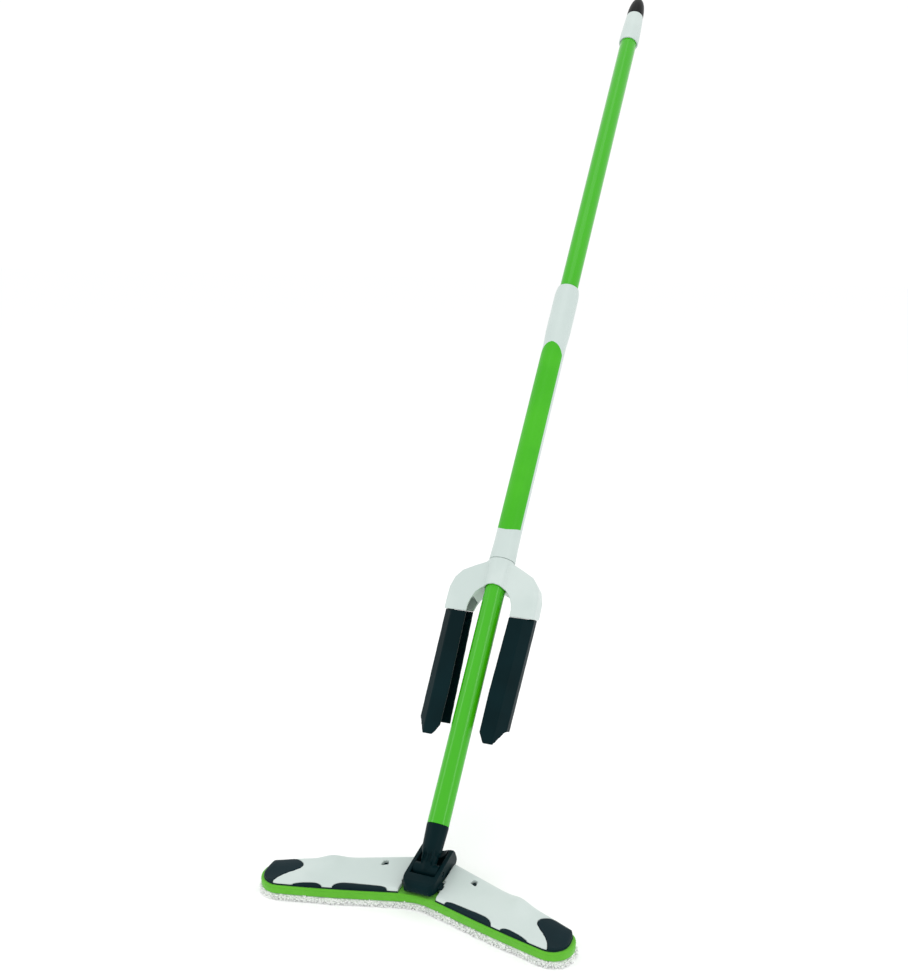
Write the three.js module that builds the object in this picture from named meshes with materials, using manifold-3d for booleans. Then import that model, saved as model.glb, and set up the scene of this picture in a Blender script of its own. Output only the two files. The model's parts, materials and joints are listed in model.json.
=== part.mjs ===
// A self-wringing flat mop: a V-shaped head of two hinged wings, a leaning tube handle,
// and a sleeve with two jaws that slides on the handle and squeezes the folded wings.
// Millimetres, +Z up, X to the right, Y to the back. The origin is on the floor under the head.
import * as THREE from 'three';
import { mergeVertices } from 'three/addons/utils/BufferGeometryUtils.js';
import Module from 'manifold-3d';

const wasm = await Module();
wasm.setup();

// ---- driving dimensions -------------------------------------------------------------------

const GAP = 0.3;                       // between pieces that touch in the real object

// The handle leans back about a pin that runs from left to right. T values are distances
// along the handle from that pin.
const LEAN = THREE.MathUtils.degToRad(40.9);
const PIN = { y: -5.5, z: 30.5, radius: 2.5 };
const TUBE = { radius: 12.5, bore: 11.6 };
const SOCKET_TOP = 49.6;
const TUBE_SPLIT = 640;
const CAP = { rim: 1266.6, line: 1325.6, rimRadius: 15.2, lineRadius: 13 };
const TIP_END = 1365;

// The wringer. Its jaws are U channels whose mouths come nearer to the handle downwards.
const SLEEVE = { bottom: 371.9, collar: 771, top: 787.6, radius: 15.5, collarRadius: 16.6, bore: 13.1 };
const PANEL = { bottom: 411.8, side: 672, peak: 692, radius: 15.6, seat: 14.2, halfAngle: 78 };
const JAW = {
  back: 20.9, front: -8.5,             // across the handle, measured from its axis
  inner: 27.5, frontMouth: 3, backMouth: 6.3, ridge: 45.9, outer: 56.7, bevel: 9.1, taper: 3.7,
  wall: 3, bottom: 146.1, top: 302.6, topSlope: 0.35,
};
const CROWN_ARCH = 337;                // top of the arch where the tube leaves the crown

// The head: two straight edges meet in a shallow V, open to the front
const FRONT = { apex: -31.4, sweep: Math.tan(THREE.MathUtils.degToRad(14.8)), bulge: 1.8 };
const BACK = { apex: 40, sweep: Math.tan(THREE.MathUtils.degToRad(22.97)) };
const TIP_X = 179;
const TIP_RADIUS = { front: 24, back: 16 };
const HINGE = { x: 21, z: 19.5, knuckle: 2.6, pin: 1.2, hole: 1.5, length: 20 };
const PAD = { bottom: 0, pileTop: 6.4, bandBottom: 6.7, top: 16.5, root: HINGE.x + 1 };
const SHELL = { bottom: 16.8, root: 20.2, inset: 2.5, endInset: 4.5, backInset: 1.6 };
const PLATE = { bottom: 16.8, top: 18.6 };
const CRADLE = { halfWidth: 19, trough: 14.5, floor: 22.2, bottom: 19.9,
  saddleLean: THREE.MathUtils.degToRad(63) };

// ---- solids -------------------------------------------------------------------------------

function signedVolume(positions, triangles) {
  let six = 0;
  const [a, b, c] = [new THREE.Vector3(), new THREE.Vector3(), new THREE.Vector3()];
  for (let i = 0; i < triangles.length; i += 3) {
    a.fromArray(positions, 3 * triangles[i]);
    b.fromArray(positions, 3 * triangles[i + 1]);
    c.fromArray(positions, 3 * triangles[i + 2]);
    six += a.dot(b.cross(c));
  }
  return six / 6;
}

// A closed three.js geometry as a solid, with its faces pointing out
function solid(geometry) {
  const bare = geometry.clone();
  bare.deleteAttribute('normal');
  bare.deleteAttribute('uv');
  const merged = mergeVertices(bare, 1e-4);
  const positions = Float32Array.from(merged.attributes.position.array);
  const triangles = [];
  const index = merged.index.array;
  for (let i = 0; i < index.length; i += 3) {
    const [a, b, c] = [index[i], index[i + 1], index[i + 2]];
    if (a !== b && b !== c && c !== a) triangles.push(a, b, c);
  }
  if (signedVolume(positions, triangles) < 0) {
    for (let i = 0; i < triangles.length; i += 3) {
      [triangles[i], triangles[i + 1]] = [triangles[i + 1], triangles[i]];
    }
  }
  return new wasm.Manifold(new wasm.Mesh({
    numProp: 3, vertProperties: positions, triVerts: Uint32Array.from(triangles),
  }));
}

function geometryOf(body) {
  const { vertProperties, triVerts } = body.getMesh();
  const geometry = new THREE.BufferGeometry();
  geometry.setAttribute('position', new THREE.BufferAttribute(Float32Array.from(vertProperties), 3));
  geometry.setIndex(new THREE.BufferAttribute(Uint32Array.from(triVerts), 1));
  geometry.computeVertexNormals();
  return geometry;
}

// The same solid on the other side of the plane x = 0
function mirrored(body) {
  const geometry = geometryOf(body);
  geometry.scale(-1, 1, 1);
  return solid(geometry);
}

const sided = (side, body) => (side > 0 ? body : mirrored(body));

function union(first, ...others) {
  return others.reduce((sum, other) => sum.add(other), first);
}

function cut(first, ...others) {
  return others.reduce((rest, other) => rest.subtract(other), first);
}

// A body turned about Z from a profile of [radius, height] pairs that closes on itself
function turned(profile, segments = 32) {
  const points = [...profile, profile[0]].map(([radius, height]) => new THREE.Vector2(radius, height));
  return solid(new THREE.LatheGeometry(points, segments).rotateX(Math.PI / 2));
}

const rod = (radius, from, to, segments = 32) =>
  turned([[0, from], [radius, from], [radius, to], [0, to]], segments);

const ring = (outer, inner, from, to, segments = 32) =>
  turned([[inner, from], [outer, from], [outer, to], [inner, to]], segments);

function box(from, to) {
  const [x0, y0, z0] = from;
  const [x1, y1, z1] = to;
  const geometry = new THREE.BoxGeometry(x1 - x0, y1 - y0, z1 - z0);
  return solid(geometry.translate((x0 + x1) / 2, (y0 + y1) / 2, (z0 + z1) / 2));
}

function extruded(shape, depth, options = {}) {
  return new THREE.ExtrudeGeometry(shape, { depth, bevelEnabled: false, curveSegments: 6, ...options });
}

// Extrusions of an outline drawn in the plane that each name says, along the third axis
const upright = (shape, from, to) => solid(extruded(shape, to - from).translate(0, 0, from));

function acrossX(shape, from, to) {
  const turn = new THREE.Matrix4().makeBasis(
    new THREE.Vector3(0, 1, 0), new THREE.Vector3(0, 0, 1), new THREE.Vector3(1, 0, 0));
  return solid(extruded(shape, to - from).applyMatrix4(turn).translate(from, 0, 0));
}

function acrossY(shape, from, to, options) {
  const turn = new THREE.Matrix4().makeBasis(
    new THREE.Vector3(1, 0, 0), new THREE.Vector3(0, 0, 1), new THREE.Vector3(0, -1, 0));
  return solid(extruded(shape, to - from, options).applyMatrix4(turn).translate(0, to, 0));
}

const polygon = (points) => new THREE.Shape(points.map(([u, v]) => new THREE.Vector2(u, v)));

// A rod along X or Y through the point that is given
function rodAlongX(radius, from, to, y, z, segments = 24) {
  const geometry = new THREE.CylinderGeometry(radius, radius, to - from, segments);
  return solid(geometry.rotateZ(Math.PI / 2).translate((from + to) / 2, y, z));
}

function rodAlongY(radius, from, to, x, z, segments = 20) {
  const geometry = new THREE.CylinderGeometry(radius, radius, to - from, segments);
  return solid(geometry.translate(x, (from + to) / 2, z));
}

// A closed skin through rings of points, with the same number of points in each ring
function lofted(rings) {
  const count = rings[0].length;
  const positions = rings.flat(2);
  const index = [];
  for (let r = 0; r + 1 < rings.length; r += 1) {
    for (let i = 0; i < count; i += 1) {
      const [a, b] = [r * count + i, r * count + (i + 1) % count];
      index.push(a, b, b + count, a, b + count, a + count);
    }
  }
  const flat = rings[0].map(([x, y]) => new THREE.Vector2(x, y));
  const last = (rings.length - 1) * count;
  for (const [a, b, c] of THREE.ShapeUtils.triangulateShape(flat, [])) {
    index.push(a, c, b, last + a, last + b, last + c);
  }
  const geometry = new THREE.BufferGeometry();
  geometry.setAttribute('position', new THREE.BufferAttribute(new Float32Array(positions), 3));
  geometry.setIndex(index);
  return solid(geometry);
}

// An outline through [x, y, radius] corners, each rounded by an arc of its radius
function rounded(corners, segments = 8) {
  const points = [];
  corners.forEach(([x, y, radius = 0], i) => {
    const corner = new THREE.Vector2(x, y);
    if (radius === 0) {
      points.push(corner);
      return;
    }
    const before = new THREE.Vector2(...corners.at(i - 1)).sub(corner).normalize();
    const after = new THREE.Vector2(...corners[(i + 1) % corners.length]).sub(corner).normalize();
    const half = Math.acos(before.dot(after)) / 2;
    const centre = before.clone().add(after).normalize().multiplyScalar(radius / Math.sin(half)).add(corner);
    const start = before.multiplyScalar(radius / Math.tan(half)).add(corner).sub(centre).angle();
    const end = after.multiplyScalar(radius / Math.tan(half)).add(corner).sub(centre).angle();
    const sweep = THREE.MathUtils.euclideanModulo(end - start + Math.PI, 2 * Math.PI) - Math.PI;
    for (let k = 0; k <= segments; k += 1) {
      const angle = start + sweep * k / segments;
      points.push(new THREE.Vector2(radius * Math.cos(angle), radius * Math.sin(angle)).add(centre));
    }
  });
  return new THREE.Shape(points);
}

// A closed outline: straight through the corner points, and a smooth curve through the others
function blob(corners, curve) {
  const smooth = new THREE.CatmullRomCurve3(curve.map(([x, y]) => new THREE.Vector3(x, y, 0)));
  const bend = smooth.getPoints(4 * curve.length).map(({ x, y }) => new THREE.Vector2(x, y));
  return new THREE.Shape([...corners.map(([x, y]) => new THREE.Vector2(x, y)), ...bend]);
}

// ---- handle -------------------------------------------------------------------------------

const lowerTube = () => ring(TUBE.radius, TUBE.bore, SOCKET_TOP + GAP, TUBE_SPLIT);
const upperTube = () => ring(TUBE.radius, TUBE.bore, TUBE_SPLIT + 1, CAP.rim + 20);

// A plug that joins the two tubes, with a thin collar between their ends
function tubeJoiner() {
  const plug = TUBE.bore - GAP;
  const reach = 60;
  return turned([
    [0, TUBE_SPLIT - reach], [plug - 1, TUBE_SPLIT - reach], [plug, TUBE_SPLIT - reach + 3],
    [plug, TUBE_SPLIT + GAP], [TUBE.radius, TUBE_SPLIT + GAP], [TUBE.radius, TUBE_SPLIT + 1 - GAP],
    [plug, TUBE_SPLIT + 1 - GAP], [plug, TUBE_SPLIT + reach - 3], [plug - 1, TUBE_SPLIT + reach],
    [0, TUBE_SPLIT + reach],
  ]);
}

function endCap() {
  const middle = (CAP.rim + CAP.line) / 2;
  const bore = TUBE.radius + GAP;
  const seat = CAP.rim + 20 + GAP;
  return turned([
    [bore, CAP.rim], [CAP.rimRadius - 0.5, CAP.rim], [CAP.rimRadius, CAP.rim + 1],
    [CAP.rimRadius - 0.4, middle - 8], [CAP.rimRadius - 0.9, middle + 8], [CAP.lineRadius, CAP.line - GAP],
    [6.3, CAP.line - GAP], [6.3, CAP.line - 14], [10, seat], [bore, seat],
  ]);
}

// The pointed tip is a soft cap with a plug that fills the bore of the end cap
function endCapTip() {
  const height = TIP_END - CAP.line;
  const nose = [];
  for (let k = 0; k <= 8; k += 1) {
    const angle = (k / 8) * Math.PI / 2;
    nose.push([CAP.lineRadius * Math.cos(angle) ** 0.8, CAP.line + height * Math.sin(angle)]);
  }
  nose[8][0] = 0;
  return turned([[0, CAP.line - 12], [6, CAP.line - 12], [6, CAP.line], ...nose]);
}

// The socket: a hub on the tilt pin, a ribbed neck, a ferrule, and a spigot inside the tube
function socket() {
  const hubRadius = 8;
  const hub = rodAlongX(hubRadius, -14, 14, 0, 0, 32);
  const neck = turned([[0, 0], [8.6, 0], [9, 16], [11.2, 21], [11.5, 24], [12.6, SOCKET_TOP - 2],
    [12.6, SOCKET_TOP], [0, SOCKET_TOP]]);
  const spigot = rod(TUBE.bore - GAP, SOCKET_TOP - 1, SOCKET_TOP + 48);
  const rib = polygon([[-11, 22], [-10.6, 10], [-7, 6], [7, 6], [9.2, 8], [10.8, 22]]);
  const ribs = [-5.5, 0, 5.5].map((x) => acrossX(rib, x - 0.9, x + 0.9));
  return cut(union(hub, neck, spigot, ...ribs), rodAlongX(PIN.radius + GAP, -20, 20, 0, 0));
}

// The rivet that holds the tube on the spigot, at the back of the handle
function socketRivet() {
  const head = new THREE.CylinderGeometry(2.2, 2.8, 1.1, 20);
  return solid(head.translate(0, TUBE.radius + 0.55 + GAP, 0).translate(0, 0, SOCKET_TOP + 18));
}

// ---- wringer ------------------------------------------------------------------------------

function sleeve() {
  const { bottom, top, radius, collarRadius, collar, bore } = SLEEVE;
  const bushBore = 14.3;
  const bushDepth = 22;
  const step = PANEL.peak + 6;
  const wall = turned([
    [bushBore, bottom], [16.4, bottom], [15.7, bottom + 22], [radius, PANEL.bottom], [radius, PANEL.side],
    [collarRadius, step + 12], [collarRadius, collar], [collarRadius - 0.5, collar + 7],
    [collarRadius - 1.5, collar + 12], [bushBore + 0.2, top], [bushBore, top],
    [bushBore, top - bushDepth], [bore, top - bushDepth], [bore, bottom + bushDepth],
    [bushBore, bottom + bushDepth],
  ], 48);
  return wall.subtract(gripPanelSpace(GAP));
}

// A sector of the handle's front, with an arched top, that the grip panel fills
function gripPanelSpace(margin) {
  const half = THREE.MathUtils.degToRad(PANEL.halfAngle);
  const reach = 30;
  const width = PANEL.radius * Math.sin(half) + margin;
  const arch = PANEL.peak - PANEL.side;
  const outline = [[-width, PANEL.bottom - margin], [width, PANEL.bottom - margin]];
  for (let k = 0; k <= 12; k += 1) {
    const angle = Math.PI * k / 12;
    outline.push([width * Math.cos(angle), PANEL.side + margin + arch * Math.sin(angle)]);
  }
  const slab = acrossY(polygon(outline), -reach, -PANEL.radius * Math.cos(half) + margin);
  return slab.subtract(rod(PANEL.seat - margin, PANEL.bottom - 5, PANEL.peak + 5, 48));
}

function gripPanel() {
  const skin = rod(PANEL.radius, PANEL.bottom - 1, PANEL.peak + 1, 48);
  return gripPanelSpace(0).intersect(skin);
}

const bush = (from, to) => ring(14, 12.8, from, to, 48);

// The front outline of the crown: shoulders that come down from the sleeve into the two arms
function crownOutline() {
  const half = [[15.2, SLEEVE.bottom], [17.5, 368.5], [31, 362], [45.5, 354], [53.5, 343.5], [57.2, 330],
    [57.4, 315], [JAW.outer, JAW.top - 14]];
  return polygon([...half, ...half.map(([x, t]) => [-x, t]).reverse()]);
}

// The arch between the arms, from one jaw edge over the tube to the other
function archOutline() {
  const half = [[JAW.inner, JAW.top - 30], [JAW.inner, JAW.top + 6], [25.6, 317], [21.5, 326], [15.5, 332.6],
    [8, 336], [0, CROWN_ARCH]];
  return polygon([...half, ...half.slice(0, -1).map(([x, t]) => [-x, t]).reverse()]);
}

// A cutter whose face follows the sloping line where the arms end and the jaws begin
function armEnd(offset) {
  const line = (y) => JAW.top + JAW.topSlope * y + offset;
  return polygon([[-60, line(-60)], [60, line(60)], [60, 200], [-60, 200]]);
}

function fork() {
  const depth = JAW.back - JAW.front;
  const round = 5;
  const shape = acrossY(crownOutline(), JAW.front + round, JAW.back - round,
    { bevelEnabled: true, bevelThickness: round, bevelSize: round, bevelOffset: -round, bevelSegments: 4 });
  const collar = turned([[0, 320], [15.6, 320], [15.6, 355], [16.3, SLEEVE.bottom - GAP],
    [0, SLEEVE.bottom - GAP]], 48);
  const arch = acrossY(archOutline(), JAW.front - 20, JAW.back + 20);
  const recess = (side) => sided(side, box(
    [JAW.inner - 3, JAW.front + JAW.wall, JAW.top - 20],
    [JAW.outer - JAW.wall, JAW.back - JAW.wall, JAW.top + 24]));
  const hollow = rod(13.1, 300, 380, 48);
  return cut(union(shape, collar), arch, hollow, recess(1), recess(-1),
    box([-80, -40, SLEEVE.bottom - GAP], [80, JAW.front + depth + 40, 420]),
    acrossX(armEnd(GAP), -80, 80));
}

// One ring of the jaw's channel at a height on the handle. It grows slimmer downwards on its
// outer side, and its two flanges reach nearer to the handle, the back one the most.
function jawRing(t, outerWall) {
  const down = (JAW.top - t) / (JAW.top - JAW.bottom);
  const { inner, ridge, outer, bevel, front, back, wall, taper, frontMouth, backMouth } = JAW;
  const slim = taper * down;
  const edge = outerWall ? 0 : wall;
  const beyond = outerWall ? 0 : 5;
  const bevelCut = bevel - edge * 0.45;
  return [
    [inner - frontMouth * Math.min(down * 1.7, 1) - beyond, front + edge], [ridge - slim, front + edge],
    [outer - slim - edge, front + bevelCut + edge * 0.45], [outer - slim - edge, back - bevelCut - edge * 0.45],
    [ridge - slim, back - edge], [inner - backMouth * down - beyond, back - edge],
  ].map(([x, y]) => [x, y, t]);
}

function jawBlock(outerWall) {
  const span = JAW.top - JAW.bottom;
  return lofted([1.2, 0.59, -0.12].map((down) => jawRing(JAW.top - down * span, outerWall)));
}

// A jaw hangs from each arm, and a tongue at its top lies inside the arm's recess. Its foot is
// lowest at the front, and the front flange's corner is cut back to lead a folded wing in.
function jaw(side) {
  const foot = polygon([[-60, JAW.bottom], [-7.5, JAW.bottom], [0.6, 166], [11.8, 168.6], [60, 167], [60, 80],
    [-60, 80]]);
  const head = polygon([[-60, JAW.top - 60 * JAW.topSlope], [60, JAW.top + 60 * JAW.topSlope],
    [60, 400], [-60, 400]]);
  const corner = acrossY(polygon([[10, 100], [10, 172], [24.6, 158], [31, JAW.bottom], [31, 100]]), -40, 5);
  const channel = cut(jawBlock(true), jawBlock(false), acrossX(foot, -80, 80), acrossX(head, -80, 80), corner);
  const tongue = box([49.8, 0, JAW.top - 16], [53, 13, JAW.top + 22]);
  const inside = jawBlock(false).add(box([20, -3, JAW.top - 5], [JAW.outer - JAW.wall - GAP, 17, JAW.top + 40]));
  const held = tongue.intersect(inside);
  const bridge = box([49.8, 0, JAW.top - 16], [54.8, 13, JAW.top - 8]);
  return sided(side, cut(union(channel, held, bridge), jawScrewHole()));
}

const SCREW = { y: 6.5, t: JAW.top + 13, shank: 1.6, head: 3.4 };

const jawScrewHole = () => rodAlongX(SCREW.shank + GAP, 44, 54, SCREW.y, SCREW.t, 16);

function jawScrew(side) {
  const head = rodAlongX(SCREW.head, 47.2, 49.5, SCREW.y, SCREW.t, 20);
  const shank = rodAlongX(SCREW.shank, 49.4, 52.8, SCREW.y, SCREW.t, 16);
  const slot = box([46.9, SCREW.y - 0.5, SCREW.t - 2.4], [47.9, SCREW.y + 0.5, SCREW.t + 2.4]);
  return sided(side, cut(union(head, shank), slot));
}

// ---- head ---------------------------------------------------------------------------------

function frontEdge(x, inset = 0) {
  const along = THREE.MathUtils.clamp((x - 30) / 140, 0, 1);
  return FRONT.apex + inset - FRONT.sweep * x - FRONT.bulge * Math.sin(Math.PI * along);
}

const backEdge = (x, inset = 0) => BACK.apex - inset - BACK.sweep * x;

// The plan outline of the right wing, drawn in from the pad's own outline by the insets
function wingOutline(root, { front = 0, end = 0, back = 0 } = {}) {
  const inner = Math.max(front, end);
  const tip = TIP_X - end;
  const edge = [];
  for (let x = root; x < 150; x += 16) edge.push([x, frontEdge(x, front)]);
  return rounded([...edge, [tip, frontEdge(tip, front), TIP_RADIUS.front - inner],
    [tip, backEdge(tip, back), TIP_RADIUS.back - inner],
    [root, backEdge(root, back)]]);
}

const padSlab = (side, from, to) => sided(side, upright(wingOutline(PAD.root), from, to));

function centreSlab(from, to) {
  const x = PAD.root - GAP;
  const outline = rounded([[-x, frontEdge(x)], [0, FRONT.apex, 50], [x, frontEdge(x)],
    [x, backEdge(x)], [0, BACK.apex, 24], [-x, backEdge(x)]]);
  return upright(outline, from, to);
}

// The middle of the pad, with a raised part that meets the underside of the cradle
function centreBand() {
  const raised = box([-15, -24, PAD.top - 1], [15, 28, CRADLE.bottom - GAP]);
  return centreSlab(PAD.bandBottom, PAD.top).add(raised);
}

// Height of the shell's top face: low at the front, a crest near the back, and a soft boss
function shellTop(x, y) {
  const front = frontEdge(x, SHELL.inset);
  const back = backEdge(x, SHELL.backInset);
  const across = (y - front) / (back - front);
  const toEdge = Math.min(y - front, back - y, TIP_X - SHELL.endInset - x);
  const roll = Math.sqrt(1 - (1 - THREE.MathUtils.clamp(toEdge / 5, 0, 1)) ** 2);
  const boss = 4.8 * Math.exp(-(((x - 111) / 13) ** 2) - ((across - 0.86) / 0.3) ** 2);
  const dish = 0.8 * Math.exp(-(((x - 100) / 9) ** 2) - ((across - 0.22) / 0.18) ** 2);
  const tipFall = 1.6 * THREE.MathUtils.smoothstep(x, 140, 176);
  const crown = 21.4 + 3.4 * THREE.MathUtils.smoothstep(across, 0.05, 0.85);
  return 17.4 + (crown - 17.4 + boss - dish - tipFall) * (0.35 + 0.65 * roll);
}

// The right wing's whole cover, before its dark pieces are cut out of it
function coverSolid() {
  const [columns, rows] = [46, 14];
  const [xMin, xMax] = [SHELL.root - 1, TIP_X];
  const point = (i, j, top) => {
    const x = xMin + (xMax - xMin) * i / columns;
    const [front, back] = [frontEdge(x, SHELL.inset) - 0.4, backEdge(x, SHELL.backInset) + 0.4];
    const y = front + (back - front) * (1 - Math.cos(Math.PI * j / rows)) / 2;
    return [x, y, top ? shellTop(x, y) : SHELL.bottom];
  };
  const rings = [];
  for (let i = 0; i <= columns; i += 1) {
    const ringPoints = [];
    for (let j = 0; j <= rows; j += 1) ringPoints.push(point(i, j, true));
    ringPoints.push(point(i, rows, false), point(i, 0, false));
    rings.push(ringPoints);
  }
  const skin = new THREE.BufferGeometry();
  const count = rows + 3;
  const index = [];
  for (let i = 0; i < columns; i += 1) {
    for (let j = 0; j < count; j += 1) {
      const [a, b] = [i * count + j, i * count + (j + 1) % count];
      index.push(a, b, b + count, a, b + count, a + count);
    }
  }
  for (const i of [0, columns]) {
    const end = i * count;
    for (let j = 1; j + 1 < count; j += 1) {
      index.push(end, ...(i ? [end + j, end + j + 1] : [end + j + 1, end + j]));
    }
  }
  skin.setAttribute('position', new THREE.BufferAttribute(new Float32Array(rings.flat(2)), 3));
  skin.setIndex(index);
  const outline = wingOutline(SHELL.root,
    { front: SHELL.inset, end: SHELL.endInset, back: SHELL.backInset });
  return solid(skin).intersect(upright(outline, SHELL.bottom - 1, 40));
}

// Plan outlines of the dark pieces that are let into the cover, for the right wing
const bumperOutline = () => blob(
  [[185, -24], [185, -95], [157, -95]],
  [[157, -78], [156, -68], [153, -60], [147.5, -52.5], [140.5, -45], [136.6, -39], [137.5, -34],
    [142, -30.5], [149, -28.4], [158, -27.4], [168, -26]]);
const longTrimOutline = () => blob(
  [[95, -75], [33, -60]],
  [[33, -41], [34, -37.4], [37.5, -36], [48, -37.6], [62, -40.8], [76, -44], [84.5, -47], [90, -52], [93, -60]]);
const shortTrimOutline = () => blob(
  [[143, -90], [99, -75]],
  [[99, -61], [103, -57.3], [110, -56.6], [120, -59.6], [131, -64], [138, -68], [142, -74]]);
const slotOutline = () => polygon([[48.6, 0], [51.2, 6.8], [55.6, 4.4], [56.4, -4.2]]);

function grown(shape, margin) {
  const geometry = new THREE.ExtrudeGeometry(shape, {
    depth: 30, bevelEnabled: true, bevelSize: margin, bevelThickness: 1, bevelSegments: 1,
    curveSegments: 6,
  });
  return solid(geometry.translate(0, 0, 5));
}

const COVER = coverSolid();
const LET_IN = { bumper: bumperOutline(), long_trim: longTrimOutline(), short_trim: shortTrimOutline() };

function hingeClearance() {
  const { x, z, knuckle, length } = HINGE;
  return union(
    box([0, -80, 0], [x + 1, 80, z + knuckle]),
    rodAlongY(knuckle + 0.6, -length - 1, length + 1, x, z),
    box([x - 0.5, -length - 1, 10], [x + knuckle + 0.9, length + 1, z]));
}

// The room under the cover for the base plate
function plateRoom() {
  return upright(wingOutline(24, { front: 6, end: 8, back: 6 }), 10, PLATE.top + GAP);
}

function shell(side) {
  const pieces = Object.values(LET_IN).map((outline) => grown(outline, GAP));
  const cavity = plateRoom();
  const slot = upright(slotOutline(), 10, 40);
  return sided(side, cut(COVER, ...pieces, cavity, slot, hingeClearance()));
}

function letIn(name, side) {
  const cavity = plateRoom();
  return sided(side, cut(COVER.intersect(upright(LET_IN[name], 10, 40)), cavity));
}

// A dark catch at the bottom of the slot in the cover
function latch(side) {
  const shape = polygon([[50, 0.6], [51.9, 5], [54.4, 3.6], [55.1, -2.2]]);
  return sided(side, upright(shape, PLATE.top + GAP, 22.4));
}

// The stiff plate inside each wing, with the middle knuckle of its hinge
function basePlate(side) {
  const { x, z, knuckle, hole } = HINGE;
  const root = x + knuckle + 1;
  const plate = upright(wingOutline(root + 0.6, { front: 6.4, end: 8.4, back: 6.4 }), PLATE.bottom, PLATE.top);
  const tab = box([x, -7.4, z - knuckle], [root + 4, 7.4, PLATE.top]);
  const body = union(plate, tab, rodAlongY(knuckle, -7.4, 7.4, x, z));
  return sided(side, cut(body, rodAlongY(hole, -10, 10, x, z)));
}

// ---- cradle -------------------------------------------------------------------------------

function cradleProfile() {
  return polygon([[-33.5, CRADLE.bottom], [-36.4, 23.5], [-36.2, 28], [-34.6, 31.4], [-31, 33], [-24, 34.2],
    [0, 37.8], [22, 40.8], [26.5, 41.2], [31, 36.5], [37, 25.5], [34, 21], [30, CRADLE.bottom]]);
}

function cradle() {
  const w = CRADLE.halfWidth;
  const { x, z, knuckle, hole, length } = HINGE;
  const plan = rounded([[-w, -37.5, 14], [w, -37.5, 14], [w, 39, 3], [-w, 39, 3]]);
  const body = acrossX(cradleProfile(), -w, w).intersect(upright(plan, 10, 50));
  const trough = acrossX(polygon([[-19.5, 50], [-19.5, 33], [-17, 26], [-13, CRADLE.floor],
    [26, CRADLE.floor], [45, 24.5], [45, 50]]), -CRADLE.trough, CRADLE.trough);
  const resting = (body) => solid(
    geometryOf(body).rotateX(-CRADLE.saddleLean).translate(0, PIN.y, PIN.z));
  const saddle = cut(acrossX(polygon([[23, 21], [34, 21], [36, 26], [30, 37.5], [26.5, 40.5], [23, 40.5]]),
    -CRADLE.trough - 1, CRADLE.trough + 1), resting(rod(13.2, 0, 80, 40)));
  const knuckles = [];
  for (const side of [-1, 1]) {
    for (const [from, to] of [[8, length], [-length, -8]]) {
      const tab = box([Math.min(side * 16, side * x), from, CRADLE.bottom],
        [Math.max(side * 16, side * x), to, z + knuckle]);
      knuckles.push(tab, rodAlongY(knuckle, from, to, side * x, z));
    }
  }
  const swing = [-1, 1].map((side) => rodAlongY(knuckle + 0.5, -7.9, 7.9, side * x, z));
  const holes = [-1, 1].map((side) => rodAlongY(hole, -30, 30, side * x, z));
  const pinHole = rodAlongX(PIN.radius + GAP, -30, 30, PIN.y, PIN.z);
  return cut(union(cut(body, trough), saddle, ...knuckles), ...swing, ...holes, pinHole);
}

const tiltPin = () => rodAlongX(PIN.radius, -CRADLE.halfWidth + 1.2, CRADLE.halfWidth - 1.2, PIN.y, PIN.z);
const hingePin = (side) => rodAlongY(HINGE.pin, -HINGE.length - 0.4, HINGE.length + 0.4, side * HINGE.x, HINGE.z, 16);

// ---- assembly -----------------------------------------------------------------------------

const FINISH = {
  paint: { color: 0x4fc323, roughness: 0.3, metalness: 0.1 },
  white: { color: 0xd6e0d8, roughness: 0.32, metalness: 0 },
  dark: { color: 0x10282e, roughness: 0.45, metalness: 0 },
  black: { color: 0x0a0d0d, roughness: 0.4, metalness: 0 },
  rubber: { color: 0x14262b, roughness: 0.6, metalness: 0 },
  steel: { color: 0xb9bec2, roughness: 0.3, metalness: 0.9 },
  green_plastic: { color: 0x4fc32a, roughness: 0.4, metalness: 0 },
  green_fabric: { color: 0x62be2c, roughness: 0.9, metalness: 0 },
  pile: { color: 0xeceeea, roughness: 1, metalness: 0 },
};

function piece(name, finish, body) {
  const mesh = new THREE.Mesh(geometryOf(body), new THREE.MeshStandardMaterial(FINISH[finish]));
  mesh.name = name;
  return mesh;
}

const mop = new THREE.Group();

const handle = new THREE.Group();
handle.position.set(0, PIN.y, PIN.z);
handle.rotation.x = -LEAN;
mop.add(handle);

handle.add(
  piece('lower_tube', 'paint', lowerTube()),
  piece('upper_tube', 'paint', upperTube()),
  piece('tube_joiner', 'dark', tubeJoiner()),
  piece('end_cap', 'white', endCap()),
  piece('end_cap_tip', 'black', endCapTip()),
  piece('socket', 'dark', socket()),
  piece('socket_rivet', 'steel', socketRivet()),
);

const wringer = new THREE.Group();
handle.add(wringer);
wringer.add(
  piece('sleeve', 'white', sleeve()),
  piece('grip_panel', 'green_plastic', gripPanel()),
  piece('upper_bush', 'dark', bush(SLEEVE.top - 20, SLEEVE.top - 1)),
  piece('lower_bush', 'dark', bush(SLEEVE.bottom + 1, SLEEVE.bottom + 20)),
  piece('fork', 'white', fork()),
);

mop.add(
  piece('cradle', 'dark', cradle()),
  piece('tilt_pin', 'steel', tiltPin()),
  piece('pad_centre_band', 'green_fabric', centreBand()),
  piece('pad_centre_pile', 'pile', centreSlab(PAD.bottom, PAD.pileTop)),
);

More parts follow.
